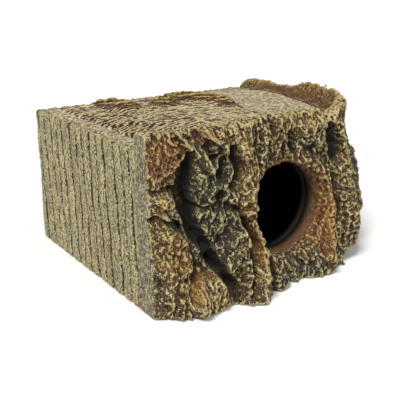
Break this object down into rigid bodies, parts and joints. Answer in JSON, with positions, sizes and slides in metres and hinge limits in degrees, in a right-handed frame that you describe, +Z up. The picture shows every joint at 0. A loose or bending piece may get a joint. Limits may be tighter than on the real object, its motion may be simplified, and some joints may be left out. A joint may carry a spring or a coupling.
{
  "type": "resin cave ornament",
  "caption": "Box-shaped cast resin hide cave with a round entrance through rough bark, grooved plank sides and a lift-off textured lid.",
  "frame": {"origin": "middle of the footprint of the whole ornament, on the ground", "axes": "+Z up, -Y out of the round entrance, +X from the flat plank side towards the bark side"},
  "size_m": [0.2152, 0.1866, 0.1145],
  "materials": {
    "plank_resin": "matte painted",
    "bark_resin": "matte painted, dry-brushed",
    "lid_resin": "matte painted, sandy"
  },
  "bodies": {
    "cave": {"timber_box": "plank_resin", "bark_shell": "bark_resin"},
    "lid": {"lid": "lid_resin"}
  },
  "joints": [
    {"name": "lid_lift", "type": "slide", "parent": "cave", "child": "lid", "axis": [0, 0, 1], "range_m": [0, 0.045]}
  ]
}
